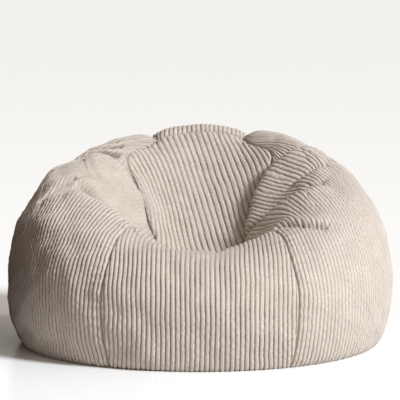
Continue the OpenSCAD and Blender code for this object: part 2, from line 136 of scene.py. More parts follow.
def bag(th, r):
    """A point of the bag: quarter ellipses below and above the widest line, and inside the rim a
    cosine slope that runs down to the lowest point of the seat, whose axis shifts forwards."""
    s, c = np.sin(np.radians(th)), np.cos(np.radians(th))
    x = np.clip(r / CREST_R, 0, 1)
    z1 = crest_z(th)
    in_rho = crest_rho(th) * x
    in_z = SEAT_HEIGHT + (z1 - SEAT_HEIGHT) * (1 - np.cos(np.pi * x**SEAT_FLATNESS)) / 2
    in_y = -SEAT_FORWARD * (1 - x * x) ** 2
    p = np.radians(90 * (WIDEST_R - r) / (WIDEST_R - CREST_R))
    up_rho = crest_rho(th) + (wide_rho(th) - crest_rho(th)) * np.cos(p)
    up_z = WIDEST_HEIGHT + (z1 - WIDEST_HEIGHT) * np.sin(p)
    q = np.radians(90 * (r - WIDEST_R) / (1 - WIDEST_R))
    lo_rho = base_rho(th) + FLOOR_TUCK * np.cos(q)
    lo_z = WIDEST_HEIGHT * (1 - np.sin(q))
    inner, upper = r <= CREST_R, r <= WIDEST_R
    rho = np.where(inner, in_rho, np.where(upper, up_rho, lo_rho))
    z = np.where(inner, in_z, np.where(upper, up_z, lo_z))
    y = np.where(inner, in_y, 0.0)
    return np.stack([rho * s, y - rho * c, z], -1)


def disc(p):
    """The bag over a disc: radius 0 is the lowest point of the seat and 1 the base seam."""
    s = np.linalg.norm(p, axis=-1)
    th = np.degrees(np.arctan2(p[..., 0], -p[..., 1]))
    r = np.where(s <= CREST_R, s, CREST_R + (s - CREST_R) / (1 - CREST_R) * (seam_r(th) - CREST_R))
    return bag(th, r)


def polar(r, th):
    """Disc point at radius r and th degrees from the front."""
    a = np.radians(th)
    return np.stack([r * np.sin(a), -r * np.cos(a)], -1)


# the side seam on the disc, from the front floor through the hollow to the rear base seam
SEAM_LINE = np.array([
    polar(1.0, FRONT_SEAM_ANGLE),
    polar(0.80, FRONT_SEAM_ANGLE),
    polar(0.65, FRONT_SEAM_ANGLE + 0.8),
    polar(CREST_R, FRONT_SEAM_ANGLE + 6.0),
    [0.225, -0.18],
    [0.180, 0.04],
    [0.260, 0.160],
    [0.325, 0.250],
    polar(0.45, 152.0),
    polar(0.62, 151.0),
    polar(0.80, 147.0),
    polar(1.0, 180 - REAR_SEAM_ANGLE),
])
SEAM_END = len(SEAM_LINE) - 1
CREST_K, SEAT_K, BACK_K = 3, 5, 8


def seam_at(k):
    """Catmull-Rom curve through the seam line's points."""
    k = np.clip(np.asarray(k, float), 0, SEAM_END)
    i = np.minimum(np.floor(k).astype(int), SEAM_END - 1)
    t = (k - i)[..., None]
    pts = np.vstack([2 * SEAM_LINE[0] - SEAM_LINE[1], SEAM_LINE, 2 * SEAM_LINE[-1] - SEAM_LINE[-2]])
    a, b, c, d = (pts[i + n] for n in range(4))
    return 0.5 * (2 * b + (c - a) * t + (2 * a - 5 * b + 4 * c - d) * t**2 + (3 * b - a - 3 * c + d) * t**3)


def strip_disc(k, w):
    """Centre strip on the disc: w from -1 at the left seam to 1 at the right seam."""
    s = seam_at(k)
    th = np.degrees(np.arctan2(s[..., 0], -s[..., 1]))
    a = np.where(k < SEAT_K, w * th, 180 - w * (180 - th))
    m = np.where(
        k < SEAT_K, ease((k - CREST_K) / (SEAT_K - CREST_K)), 1 - ease((k - SEAT_K) / (BACK_K - SEAT_K))
    )[..., None]
    row = polar(np.linalg.norm(s, axis=-1), a)
    flat = np.stack([w * s[..., 0], s[..., 1]], -1)
    return (1 - m) * row + m * flat


def side_disc(u, v):
    """Right side panel on the disc, by blending its four edges. v runs from the base seam up along the
    front seam into the seat, and up along the rear seam over the back; u runs from front to rear."""
    u1, v1 = u[..., None], v[..., None]
    bottom = polar(np.ones_like(u), FRONT_SEAM_ANGLE + u * (180 - REAR_SEAM_ANGLE - FRONT_SEAM_ANGLE))
    top = seam_at(SEAT_K + u * (BACK_K - SEAT_K))
    left = seam_at(SEAT_K * v)
    right = seam_at(SEAM_END - (SEAM_END - BACK_K) * v)
    c00, c10 = seam_at(0), seam_at(SEAM_END)
    c01, c11 = seam_at(SEAT_K), seam_at(BACK_K)
    corners = (1 - u1) * (1 - v1) * c00 + u1 * (1 - v1) * c10 + (1 - u1) * v1 * c01 + u1 * v1 * c11
    return (1 - v1) * bottom + v1 * top + (1 - u1) * left + u1 * right - corners


# ---------------------------------------------------------------- folds and lobes of the filled cover
def surface_frame(q):
    """Points and outward normals of the bag at disc points q."""
    h = 2e-4
    dx, dy = np.array([h, 0.0]), np.array([0.0, h])
    n = np.cross(disc(q + dx) - disc(q - dx), disc(q + dy) - disc(q - dy))
    return disc(q), unit(n)


def beside(p, line, side, reach):
    """Where points p lie beside a line of [x, y] disc points: which points are near it, their distance
    s from it (positive on the given side: 1 is to the left of the line's run, -1 to its right), the
    line's normal and sideways direction there, and a fade towards the line's ends."""
    knots = np.asarray(line, float)
    t = np.linspace(0, len(knots) - 1, 12 * len(knots))
    on_disc = np.stack([np.interp(t, np.arange(len(knots)), knots[:, a]) for a in (0, 1)], -1)
    pts, nrm = surface_frame(on_disc)
    run = unit(np.gradient(pts, axis=0))
    out = unit(np.cross(nrm, run)) * side
    here = np.all((p > pts.min(0) - reach) & (p < pts.max(0) + reach), -1)
    q = p[here]
    gap2 = ((q[:, None, :] - pts) ** 2).sum(-1)
    at = gap2.argmin(-1)
    s = np.einsum("ij,ij->i", q - pts[at], out[at])
    x = t[at] / (len(knots) - 1)
    off_end = np.sqrt(np.maximum(gap2.min(-1) - s**2, 0))
    fade = (np.sqrt(np.clip(4 * x * (1 - x), 0, 1)) * 0.9 + 0.1) * gauss(off_end, 0.025)
    return here, s, nrm[at], out[at], fade


def fold(p, line, side, depth, width, bulge=0.0, reach=0.05, lean=0.0, crease=0.0):
    """Displacement of points p by a fold along a line of disc points. With s the distance from the
    line, the cloth sinks by depth * exp(-(s/width)^2). On the given side it swells by bulge and shifts
    back over the line by lean, both times a step that rises beside the line and falls off over reach.
    The crease, the extra, narrow sink that the fine grids get, is not used here; creased() applies it."""
    d = np.zeros_like(p)
    here, s, nrm, out, fade = beside(p, line, side, 3 * reach + 0.03)
    if len(s):
        pillow = ease((s - 0.002) / 0.016) * gauss(np.maximum(s - 0.35 * reach, 0), reach)
        rise = bulge * pillow - depth * gauss(s, width)
        d[here] = fade[:, None] * (nrm * rise[:, None] - out * (lean * pillow)[:, None])
    return d


def creased(p, width=CREASE_WIDTH):
    """Displacement by the narrow creases at the bottom of the folds, at points p of the unfolded bag."""
    flat = p.reshape(-1, 3)
    d = np.zeros_like(flat)
    for line, side, *_, crease in FOLDS:
        here, s, nrm, out, fade = beside(flat, line, side, 0.03)
        if len(s):
            d[here] -= (fade**0.7 * crease * gauss(s - 0.002, width))[:, None] * nrm
    return d.reshape(p.shape)


def lobe(p, n, centre, reach, height):
    """Swell along the normals n round one disc point: height * exp(-(distance/reach)^2)."""
    c = disc(np.asarray(centre, float))
    return n * (height * gauss(np.linalg.norm(p - c, axis=-1), reach))[..., None]


def dents(p, size, height):
    """Smooth random swell: a few plane waves about size long, in fixed random directions."""
    rng = np.random.default_rng(11)
    total = np.zeros(p.shape[:-1])
    for _ in range(9):
        way = unit(rng.normal(size=3)) * (2 * np.pi / (size * rng.uniform(0.7, 1.5)))
        total += np.sin(p @ way + rng.uniform(0, 2 * np.pi))
    return height * total / 3.0


# line of disc points, side of the pillow, depth, width, bulge, reach, lean, crease
FOLDS = [
    # left arm: the inner pillow leans over the seat-back, and the rim's pillow over the hollow
    ([[-0.49, 0.115], [-0.45, 0.13], [-0.39, 0.155], [-0.33, 0.155], [-0.27, 0.13], [-0.20, 0.05]],
     -1, 0.030, 0.018, 0.026, 0.055, 0.024, 0.014),
    ([[-0.50, -0.12], [-0.43, -0.16], [-0.37, -0.18], [-0.30, -0.22], [-0.25, -0.16], [-0.20, -0.05]],
     -1, 0.045, 0.026, 0.024, 0.055, 0.014, 0.014),
    ([[-0.50, -0.05], [-0.55, -0.09], [-0.59, -0.15]], 1, 0.010, 0.012, 0.004, 0.03, 0.003, 0.010),
    ([[-0.53, 0.17], [-0.47, 0.185], [-0.40, 0.20], [-0.35, 0.23]],
     1, 0.012, 0.012, 0.008, 0.02, 0.010, 0.018),
    ([[-0.52, 0.23], [-0.46, 0.245], [-0.40, 0.26], [-0.35, 0.29]],
     1, 0.010, 0.011, 0.006, 0.02, 0.008, 0.016),
    ([[-0.50, 0.29], [-0.44, 0.31], [-0.38, 0.33]], 1, 0.008, 0.010, 0.004, 0.02, 0.004, 0.012),
    # right arm: the inner pillow leans over the seat-back, with a deep fold and a tuck before it
    ([[0.50, 0.20], [0.44, 0.165], [0.37, 0.165], [0.31, 0.170], [0.26, 0.150], [0.215, 0.095], [0.18, 0.04]],
     1, 0.040, 0.020, 0.030, 0.050, 0.026, 0.036),
    ([[0.47, -0.10], [0.42, -0.14], [0.37, -0.125], [0.32, -0.08], [0.26, -0.03], [0.20, 0.02]],
     1, 0.040, 0.018, 0.028, 0.040, 0.020, 0.036),
    ([[0.48, -0.36], [0.41, -0.37], [0.36, -0.36], [0.29, -0.32]],
     -1, 0.012, 0.012, 0.006, 0.03, 0.004, 0.006),
    ([[0.53, 0.05], [0.45, 0.01], [0.38, 0.02]], 1, 0.010, 0.014, 0.005, 0.03, 0.006, 0.012),
    # small tucks where the front rim turns over into the hollow
    ([[-0.075, -0.34], [-0.06, -0.42], [-0.085, -0.50]], 1, 0.006, 0.016, 0.003, 0.02, 0.0, 0.0),
    ([[0.055, -0.34], [0.07, -0.42], [0.06, -0.50]], -1, 0.006, 0.016, 0.003, 0.02, 0.0, 0.0),
    ([[-0.18, -0.33], [-0.19, -0.41], [-0.22, -0.48]], 1, 0.005, 0.016, 0.002, 0.02, 0.0, 0.0),
    # the back seams pinch the crest
    ([[0.205, 0.37], [0.24, 0.47], [0.29, 0.58]], 1, 0.012, 0.022, 0.0, 0.05, 0.0, 0.006),
    ([[-0.205, 0.37], [-0.24, 0.47], [-0.29, 0.58]], 1, 0.012, 0.022, 0.0, 0.05, 0.0, 0.006),
]


def shaped(q):
    """The bag over the disc, displaced by its folds, pillows and dents."""
    p, n = surface_frame(q)
    d = np.zeros_like(p)
    for one in FOLDS:
        d += fold(p, *one)
    d += lobe(p, n, [-0.36, 0.02], 0.075, 0.008)
    d += lobe(p, n, [0.37, 0.35], 0.070, 0.006)
    d += lobe(p, n, [0.0, 0.52], 0.080, 0.008)
    # unevenly filled sides
    flat = ease(p[..., 2] / 0.05)
    right = 0.5 + 0.5 * np.tanh(p[..., 0] / 0.2)
    swell = (dents(p, 0.11, 0.0030) + dents(p + 3.0, 0.055, 0.0012)) * (1 - 0.6 * right)
    swell = swell - UNDERSIZE * (1 - 0.5 * right)
    swell = swell - 0.008 * gauss(np.linalg.norm(p - np.array([-0.25, 0.16, 0.48]), axis=-1), 0.13)
    d += n * (swell * flat)[..., None]
    return p + d


# ---------------------------------------------------------------- coarse cover mesh, one grid per panel
# panel: its CAD node, and whether its rows run clockwise
PANELS = {
    "front": ("front_panel", False),
    "seat": ("seat_back_panel", False),
    "rear": ("rear_panel", True),
    "right": ("right_side_panel", False),
    "left": ("left_side_panel", True),
}
STEP = 0.05  # of the seam line's parameter, from row to row
COLS = 56
ROW_STEP = 0.0042  # from row to row of the fine panels
COLS_PER_CORD = 8


def zip_gap(th):
    """Half gap at the base seam: the zip's half opening within its angle, and 0 past it."""
    return ZIP_HALF_GAP * (1 - ease((from_rear(th) - ZIP_HALF_ANGLE - 0.6) / 2.0))


def above_zip(q):
    """Disc points drawn in near the base seam so that the edge stays above the zip's opening."""
    rad = np.linalg.norm(q, axis=-1)
    th = np.degrees(np.arctan2(q[..., 0], -q[..., 1]))
    share = zip_gap(th) / LOWER_ARC * (1 - CREST_R) / (seam_r(th) - CREST_R)
    return polar(rad - share * ease((rad - 0.85) / 0.15), th)


def disc_grids(step, cols):
    """The panels' control grids on the disc, rows by columns; neighbouring grids share their edges."""
    w = np.linspace(-1, 1, cols + 1)
    n1, n2 = int(round(SEAT_K / step)), int(round((BACK_K - SEAT_K) / step))
    k1 = np.linspace(0, SEAT_K, n1 + 1)
    k2 = np.linspace(SEAT_K, BACK_K, n2 + 1)
    k3 = np.linspace(SEAM_END, BACK_K, n1 + 1)
    grids = {}
    for name, ks in (("front", k1), ("seat", k2), ("rear", k3)):
        ww, kk = np.meshgrid(w, ks)
        q = strip_disc(kk, ww)
        grids[name] = above_zip(q) if name == "rear" else q
    uu, vv = np.meshgrid(np.linspace(0, 1, n2 + 1), np.linspace(0, 1, n1 + 1))
    grids["right"] = side_disc(uu, vv)
    grids["left"] = grids["right"] * np.array([-1.0, 1.0])
    return grids


def refined(c):
    """A control grid with a row and a column added in each gap, on cubic curves."""
    rows = sample_rows(c, np.arange(2 * len(c) - 1) / 2)[0]
    x = np.arange(2 * c.shape[1] - 1) / 2
    return sample_cols(rows, np.repeat(x[None], len(rows), 0))[0]


def settle(grids):
    """The cover as cloth: the welded grids are cut a little larger than the beads and shorter along
    the seams, blown out by the beads' pressure and held to the filled shape by soft springs, so the
    cloth buckles into shallow wrinkles and puckers. Each point moves by no more than CLOTH_CAP."""
    keys = list(grids)
    pts = np.concatenate([grids[k].reshape(-1, 3) for k in keys])
    _, first, back = np.unique(np.round(pts, 6), axis=0, return_index=True, return_inverse=True)
    back = back.ravel()
    quads, seam, start = [], np.zeros(len(first), bool), 0
    for k in keys:
        n, m = grids[k].shape[:2]
        ids = back[start:start + n * m].reshape(n, m)
        start += n * m
        q = np.stack([ids[:-1, :-1], ids[:-1, 1:], ids[1:, 1:], ids[1:, :-1]], -1).reshape(-1, 4)
        quads.append(q[:, ::-1] if PANELS[k][1] else q)
        for edge in (ids[0], ids[-1], ids[:, 0], ids[:, -1]):
            seam[edge] = True
    obj = make_mesh("cloth_try", pts[first], np.concatenate(quads))
    p = pts[first]
    fixed = (p[:, 2] < 0.012) | ((p[:, 2] < 0.085) & (p[:, 1] > 0.2))
    hold = obj.vertex_groups.new(name="hold")
    for ids, weight in ((np.flatnonzero(fixed), 1.0), (np.flatnonzero(~fixed & seam), 0.80),
                        (np.flatnonzero(~fixed & ~seam), 0.62)):
        hold.add(ids.tolist(), weight, "REPLACE")
    sewn = obj.vertex_groups.new(name="sewn")
    sewn.add(np.flatnonzero(seam).tolist(), 1.0, "REPLACE")
    cloth = obj.modifiers.new("cloth", "CLOTH")
    cs = cloth.settings
    cs.quality = 4
    cs.mass = 0.15
    cs.tension_stiffness = cs.compression_stiffness = 18
    cs.shear_stiffness = 6
    cs.bending_stiffness = 6.0
    cs.use_pressure = True
    cs.uniform_pressure_force = 1.2
    cs.vertex_group_mass = "hold"
    cs.pin_stiffness = 22.0
    cs.vertex_group_shrink = "sewn"
    cs.shrink_min = -0.035
    cs.shrink_max = 0.025
    cs.effector_weights.gravity = 0.12
    cloth.collision_settings.use_collision = False
    cloth.collision_settings.use_self_collision = False
    scene = bpy.context.scene
    for f in range(1, CLOTH_FRAMES + 1):
        scene.frame_set(f)
    graph = bpy.context.evaluated_depsgraph_get()
    out = np.empty(len(p) * 3, np.float32)
    obj.evaluated_get(graph).data.vertices.foreach_get("co", out)
    out = out.reshape(-1, 3)
    move = out - p
    far = np.linalg.norm(move, axis=-1, keepdims=True)
    move *= np.minimum(1, CLOTH_CAP / np.maximum(far, 1e-9))
    moved = p + move
    moved[:, 2] = np.maximum(moved[:, 2], np.minimum(p[:, 2], 0.001))
    scene.frame_set(1)
    bpy.data.objects.remove(obj)
    full = moved[back]
    new, start = {}, 0
    for k in keys:
        n, m = grids[k].shape[:2]
        new[k] = full[start:start + n * m].reshape(n, m, 3)
        start += n * m
    return new


# ---------------------------------------------------------------- fine panels with real cords
def cubic_weights(t):
    """Catmull-Rom weights and their slopes at t from 0 to 1."""
    t2, t3 = t * t, t * t * t
    w = 0.5 * np.stack([-t3 + 2 * t2 - t, 3 * t3 - 5 * t2 + 2, -3 * t3 + 4 * t2 + t, t3 - t2], -1)
    d = 0.5 * np.stack([-3 * t2 + 4 * t - 1, 9 * t2 - 10 * t, -9 * t2 + 8 * t + 1, 3 * t2 - 2 * t], -1)
    return w, d


def padded_rows(c):
    """The rows of c with one more at each end, in line with the last two."""
    return np.concatenate([2 * c[:1] - c[1:2], c, 2 * c[-1:] - c[-2:-1]], 0)


def sample_rows(c, x):
    """Rows of c at positions x along the first axis, with the slope in x."""
    n = len(c) - 1
    i = np.clip(np.floor(x).astype(int), 0, n - 1)
    w, d = cubic_weights(x - i)
    pad = padded_rows(c)
    val = sum(w[:, a, None, None] * pad[i + a] for a in range(4))
    der = sum(d[:, a, None, None] * pad[i + a] for a in range(4))
    return val, der


def sample_cols(c, x):
    """Points of each row of c at its own positions x along the second axis, with the slope."""
    n = c.shape[1] - 1
    i = np.clip(np.floor(x).astype(int), 0, n - 1)
    w, d = cubic_weights(x - i)
    pad = np.swapaxes(padded_rows(np.swapaxes(c, 0, 1)), 0, 1)
    r = np.arange(len(c))[:, None]
    val = sum(w[..., a, None] * pad[r, i + a] for a in range(4))
    der = sum(d[..., a, None] * pad[r, i + a] for a in range(4))
    return val, der


def cord_profile(x, sharp=2.0):
    """Height of the cords across the cloth, from 0 in a groove to 1 on a cord."""
    return 1 - (1 - np.abs(np.sin(np.pi * x / CORD_PITCH))) ** sharp


def patchy(a, b, seed):
    """Smooth random field of two coordinates given in cells, from -1 to 1: random values at whole
    numbers, eased between them."""
    table = np.random.default_rng(seed).uniform(-1, 1, (257, 257))
    i, j = np.floor(a).astype(int), np.floor(b).astype(int)
    s, t = ease(a - i), ease(b - j)

    def at(m, n):
        return table[np.mod(m, 257), np.mod(n, 257)]

    near = at(i, j) * (1 - s) + at(i + 1, j) * s
    far = at(i, j + 1) * (1 - s) + at(i + 1, j + 1) * s
    return near * (1 - t) + far * t


# places where the cords are lowered and their painted groove shade lightened: [x, y, z], reach, and how much
# of the cords is lost. Most lie where the stretched pile lies flat; the last, on the right side, stands in for
# cords washed out where the key light falls full on the cloth
FLAT_PILE_AND_LIGHT_WASH = [
    ((-0.185, 0.010, 0.360), 0.105, 0.97),
    ((-0.245, 0.020, 0.410), 0.085, 0.97),
    ((-0.290, -0.070, 0.395), 0.070, 0.90),
    ((-0.160, -0.050, 0.320), 0.070, 0.95),
    ((-0.215, -0.050, 0.370), 0.070, 0.95),
    ((-0.230, 0.110, 0.440), 0.070, 0.80),
    ((-0.330, 0.170, 0.440), 0.070, 0.60),
    ((-0.130, -0.250, 0.275), 0.070, 0.45),
    ((0.020, -0.285, 0.268), 0.085, 0.70),
    ((0.170, -0.240, 0.285), 0.070, 0.50),
    ((0.300, -0.110, 0.340), 0.060, 0.45),
    ((0.330, 0.150, 0.440), 0.080, 0.60),
    ((0.250, 0.250, 0.480), 0.060, 0.60),
    ((0.000, 0.180, 0.400), 0.240, 0.20),
    # painted light: here the cords are lowered and their painted groove shade lightened because the key light
    # falls full on this side
    ((0.430, -0.200, 0.220), 0.240, 0.60),
]


def pile_left(p):
    """Share of the cords' height left at points p, which also sets how much painted groove shade is kept:
    each listed place keeps its share over half its reach, and fades out past that as a bell curve."""
    lost = np.zeros(p.shape[:-1])
    for centre, reach, share in FLAT_PILE_AND_LIGHT_WASH:
        past = np.maximum(np.linalg.norm(p - np.array(centre), axis=-1) - 0.5 * reach, 0)
        lost = np.maximum(lost, share * gauss(past, 0.6 * reach))
    return 1 - lost


def panel_arrays(ctrl, cut, flip, lean, seed, from_edge, stretch):
    """One panel as points, faces, flat coordinates and pile. The control grid is sampled with cubic
    curves in rows ROW_STEP apart; each row is cut into columns that follow the cords, whose flat
    coordinate is the length along the row of the smooth, unfolded panel over stretch, from its middle
    or from its front seam, plus the lean of the length along it. Columns past a row's ends are clamped
    to them, so the seams cut off the cords. Points sink in the folds' creases, are raised by the
    cords' profile, with random weak spots and wobble, sink at the sewn edges by SEAM_DEPTH times two
    bell curves, and are gathered there in puckers of a sine of the length along the edge."""
    mid = cut[:, cut.shape[1] // 2]
    run = np.concatenate([[0], np.cumsum(np.linalg.norm(np.diff(mid, axis=0), axis=-1))])
    n_rows = max(8, int(run[-1] / ROW_STEP))
    v_at = np.interp(np.linspace(0, run[-1], n_rows + 1), run, np.arange(len(run)))
    rows, rows_v = sample_rows(ctrl, v_at)
    n_c = ctrl.shape[1] - 1
    fine = np.linspace(0, n_c, n_c * 2 + 1)
    dense, _ = sample_cols(sample_rows(cut, v_at)[0], np.repeat(fine[None], len(rows), 0))
    seg = np.linalg.norm(np.diff(dense, axis=1), axis=-1)
    arc = np.concatenate([np.zeros((len(rows), 1)), np.cumsum(seg, 1)], 1)
    if not from_edge:
        arc = arc - arc[:, len(fine) // 2][:, None]
    arc = arc / stretch
    y_row = np.linspace(0, run[-1], n_rows + 1)
    shift = lean(y_row)
    across = CORD_PITCH / COLS_PER_CORD
    lo, hi = arc[:, 0] + shift, arc[:, -1] + shift
    j0, j1 = int(np.floor(lo.min() / across)), int(np.ceil(hi.max() / across))
    cols = np.arange(j0, j1 + 1) * across
    a = np.clip(np.searchsorted(cols, lo, "right") - 1, 0, len(cols) - 1)
    b = np.clip(np.searchsorted(cols, hi, "left"), 0, len(cols) - 1)
    x = np.clip(cols[None], lo[:, None], hi[:, None])
    u = np.empty_like(x)
    for i in range(len(rows)):
        u[i] = np.interp(x[i] - shift[i], arc[i], fine)
    p, pu = sample_cols(rows, u)
    pv, _ = sample_cols(rows_v, u)
    n = unit(np.cross(pu, pv)) * (-1.0 if flip else 1.0)
    rest, _ = sample_cols(sample_rows(cut, v_at)[0], u)
    p = p + creased(rest)
    cut_v, _ = sample_cols(sample_rows(cut, v_at)[1], u)
    step_v = np.linalg.norm(cut_v, axis=-1) * np.gradient(v_at)[:, None]
    y = np.cumsum(step_v, 0) - step_v[:1]
    d_side = np.minimum(x - lo[:, None], hi[:, None] - x)
    d_low, d_high = y, y[-1:] - y
    edge = np.minimum(d_side, np.minimum(d_low, d_high))
    cord = np.floor(x / CORD_PITCH)
    wobble = 0.0005 * patchy(cord * 0.37 + 3, y / 0.030, seed)
    bend = x + wobble + 0.0012 * patchy(x / 0.09, y / 0.07, seed + 1)
    weak = 1 + 0.10 * patchy(cord * 1.7, y / 0.012, seed + 2)
    weak = weak + 0.12 * patchy(cord * 1.3, y / 0.04, seed + 3)
    left = pile_left(p)
    height = CORD_HEIGHT * cord_profile(bend) * weak * (0.06 + 0.94 * left)
    rise = height * (0.2 + 0.8 * ease(edge / 0.005))
    sink = SEAM_DEPTH * (gauss(edge, 0.0019) + 0.26 * gauss(edge, 0.009))
    along = np.where(d_side < np.minimum(d_low, d_high), y, x)
    pucker = np.sin(2 * np.pi * (along / 0.024 + 0.45 * patchy(along / 0.035, along * 0, seed + 4)))
    pucker_reach = 0.034 if from_edge else 0.018
    gather = 0.0012 * pucker * ease(edge / 0.008) * gauss(edge, pucker_reach)
    p = p + n * (rise - sink + gather)[..., None]
    p[..., 2] = np.maximum(p[..., 2], 0.0004)
    idx = np.clip(np.arange(len(cols))[None], a[:, None], b[:, None])
    ids = idx + np.arange(len(rows))[:, None] * len(cols)
    q00, q01, q10, q11 = ids[:-1, :-1], ids[:-1, 1:], ids[1:, :-1], ids[1:, 1:]
    low, high = q00 != q01, q10 != q11
    both, only_low, only_high = low & high, low & ~high, high & ~low
    quads = np.stack([q00[both], q01[both], q11[both], q10[both]], -1)
    tris = np.concatenate([
        np.stack([q00[only_low], q01[only_low], q10[only_low]], -1),
        np.stack([q00[only_high], q11[only_high], q10[only_high]], -1)])
    if flip:
        quads, tris = quads[:, ::-1], tris[:, ::-1]
    pts, uv = p.reshape(-1, 3), np.stack([bend, y], -1).reshape(-1, 2)
    pile = left.reshape(-1)
    used = np.unique(np.concatenate([quads.ravel(), tris.ravel()]))
    back = np.full(len(pts), -1)
    back[used] = np.arange(len(used))
    return pts[used], back[quads], back[tris], uv[used], pile[used]


def make_mesh(name, pts, quads, tris=None, uv=None, pile=None):
    """A smooth-shaded mesh object from arrays, with its flat coordinates and its pile if it has any."""
    tris = np.zeros((0, 3), int) if tris is None else tris
    loops = np.concatenate([quads.ravel(), tris.ravel()])
    sizes = np.concatenate([np.full(len(quads), 4), np.full(len(tris), 3)])
    starts = np.concatenate([[0], np.cumsum(sizes)[:-1]])
    mesh = bpy.data.meshes.new(name)
    mesh.vertices.add(len(pts))
    mesh.vertices.foreach_set("co", np.asarray(pts, np.float32).ravel())
    mesh.loops.add(len(loops))
    mesh.loops.foreach_set("vertex_index", loops.astype(np.int32))
    mesh.polygons.add(len(sizes))
    mesh.polygons.foreach_set("loop_start", starts.astype(np.int32))
    mesh.polygons.foreach_set("loop_total", sizes.astype(np.int32))
    mesh.polygons.foreach_set("use_smooth", np.full(len(sizes), True))
    mesh.update(calc_edges=True)
    mesh.validate()
    if uv is not None:
        layer = mesh.uv_layers.new(name="flat")
        layer.data.foreach_set("uv", np.asarray(uv, np.float32)[loops].ravel())
    if pile is not None:
        layer = mesh.attributes.new("pile", "FLOAT", "POINT")
        layer.data.foreach_set("value", np.asarray(pile, np.float32))
    obj = bpy.data.objects.new(name, mesh)
    bpy.context.collection.objects.link(obj)
    return obj


GRIDS = {name: shaped(q) for name, q in disc_grids(STEP, COLS).items()}
GRIDS = settle(GRIDS)
FINE = disc_grids(STEP / 2, COLS * 2)
GRIDS = {name: refined(grid) for name, grid in GRIDS.items()}
CUT = {name: disc(q) for name, q in FINE.items()}


# ---------------------------------------------------------------- materials
def nodes_of(name):
    mat = bpy.data.materials.new(name)
    mat.use_nodes = True
    tree = mat.node_tree
    for n in list(tree.nodes):
        tree.nodes.remove(n)
    out = tree.nodes.new("ShaderNodeOutputMaterial")
    shader = tree.nodes.new("ShaderNodeBsdfPrincipled")
    tree.links.new(shader.outputs[0], out.inputs[0])
    return mat, tree, shader


def ramp(tree, source, stops):
    r = tree.nodes.new("ShaderNodeValToRGB")
    while len(r.color_ramp.elements) < len(stops):
        r.color_ramp.elements.new(0.5)
    for e, (at, col) in zip(r.color_ramp.elements, stops):
        e.position = at
        e.color = (*col, 1)
    tree.links.new(source, r.inputs[0])
    return r.outputs[0]


def node(tree, kind, **inputs):
    n = tree.nodes.new(kind)
    for key, value in inputs.items():
        n.inputs[key.replace("_", " ")].default_value = value
    return n


def maths(tree, op, a, b=None):
    """A Math node on a and b, each a socket or a number."""
    n = tree.nodes.new("ShaderNodeMath")
    n.operation = op
    for i, v in enumerate((a, b)):
        if v is None:
            continue
        if isinstance(v, (int, float)):
            n.inputs[i].default_value = v
        else:
            tree.links.new(v, n.inputs[i])
    return n.outputs[0]


def multiply(tree, a, b):
    n = tree.nodes.new("ShaderNodeMix")
    n.data_type = "RGBA"
    n.blend_type = "MULTIPLY"
    n.inputs[0].default_value = 1.0
    tree.links.new(a, n.inputs[6])
    tree.links.new(b, n.inputs[7])
    return n.outputs[2]


def noise(tree, where, scale, detail=3.0, stretch=(1.0, 1.0, 1.0)):
    m = node(tree, "ShaderNodeMapping", Scale=stretch)
    n = node(tree, "ShaderNodeTexNoise", Scale=scale, Detail=detail)
    tree.links.new(where, m.inputs[0])
    tree.links.new(m.outputs[0], n.inputs["Vector"])
    return n.outputs[0]


def corduroy(name, light, dark):
    """Cotton corduroy on flat coordinates: |sin| of the distance across the cords paints shade into the
    grooves, less where the pile lies flat; the nap is mottled, and fibres give grain and bump."""
    mat, tree, shader = nodes_of(name)
    uv = tree.nodes.new("ShaderNodeUVMap")
    uv.uv_map = "flat"
    flat = uv.outputs[0]
    split = tree.nodes.new("ShaderNodeSeparateXYZ")
    tree.links.new(flat, split.inputs[0])
    frayed = maths(tree, "MULTIPLY", maths(tree, "SUBTRACT", noise(tree, flat, 420.0), 0.5), 0.0020)
    across = maths(tree, "ADD", split.outputs[0], frayed)
    turn = maths(tree, "MULTIPLY", across, math.pi / CORD_PITCH)
    wave = maths(tree, "ABSOLUTE", maths(tree, "SINE", turn))
    # the pile attribute fades the painted groove shade: where the cords lie flat the colour sits evenly
    # between groove and cord
    pile = tree.nodes.new("ShaderNodeAttribute")
    pile.attribute_name = "pile"
    groove_shade_fade = maths(tree, "MULTIPLY", maths(tree, "SUBTRACT", 1.0, pile.outputs["Fac"]), 0.50)
    ridge = maths(tree, "ADD", maths(tree, "MULTIPLY", wave, pile.outputs["Fac"]), groove_shade_fade)
    middle = tuple(0.45 * a + 0.55 * b for a, b in zip(light, dark))
    # the ramp runs from painted shade at the bottom of the grooves to the cloth's own colour on the cords'
    # tops
    colour = ramp(tree, ridge, [(0.0, dark), (0.30, middle), (0.60, light)])
    nap = ramp(tree, noise(tree, flat, 24.0, 5.0), [(0.30, (0.88, 0.87, 0.865)), (0.70, (1.0, 1.0, 1.0))])
    tuft = ramp(tree, noise(tree, flat, 230.0, 4.0, (1.0, 0.6, 1.0)),
                [(0.32, (0.84, 0.83, 0.82)), (0.62, (1.0, 1.0, 1.0))])
    tree.links.new(multiply(tree, multiply(tree, colour, nap), tuft), shader.inputs["Base Color"])
    fine = maths(tree, "MULTIPLY", noise(tree, flat, 900.0, 3.0, (1.0, 0.45, 1.0)), 0.5)
    fibre = maths(tree, "ADD", fine, noise(tree, flat, 260.0, 3.0, (1.0, 0.6, 1.0)))
    bump = node(tree, "ShaderNodeBump", Strength=0.7, Distance=0.0016)
    tree.links.new(fibre, bump.inputs["Height"])
    tree.links.new(bump.outputs[0], shader.inputs["Normal"])
    shader.inputs["Roughness"].default_value = 0.93
    shader.inputs["Specular IOR Level"].default_value = 0.12
    shader.inputs["Sheen Weight"].default_value = 0.16
    shader.inputs["Sheen Roughness"].default_value = 0.5
    shader.inputs["Sheen Tint"].default_value = (1.0, 0.96, 0.92, 1)
    return mat


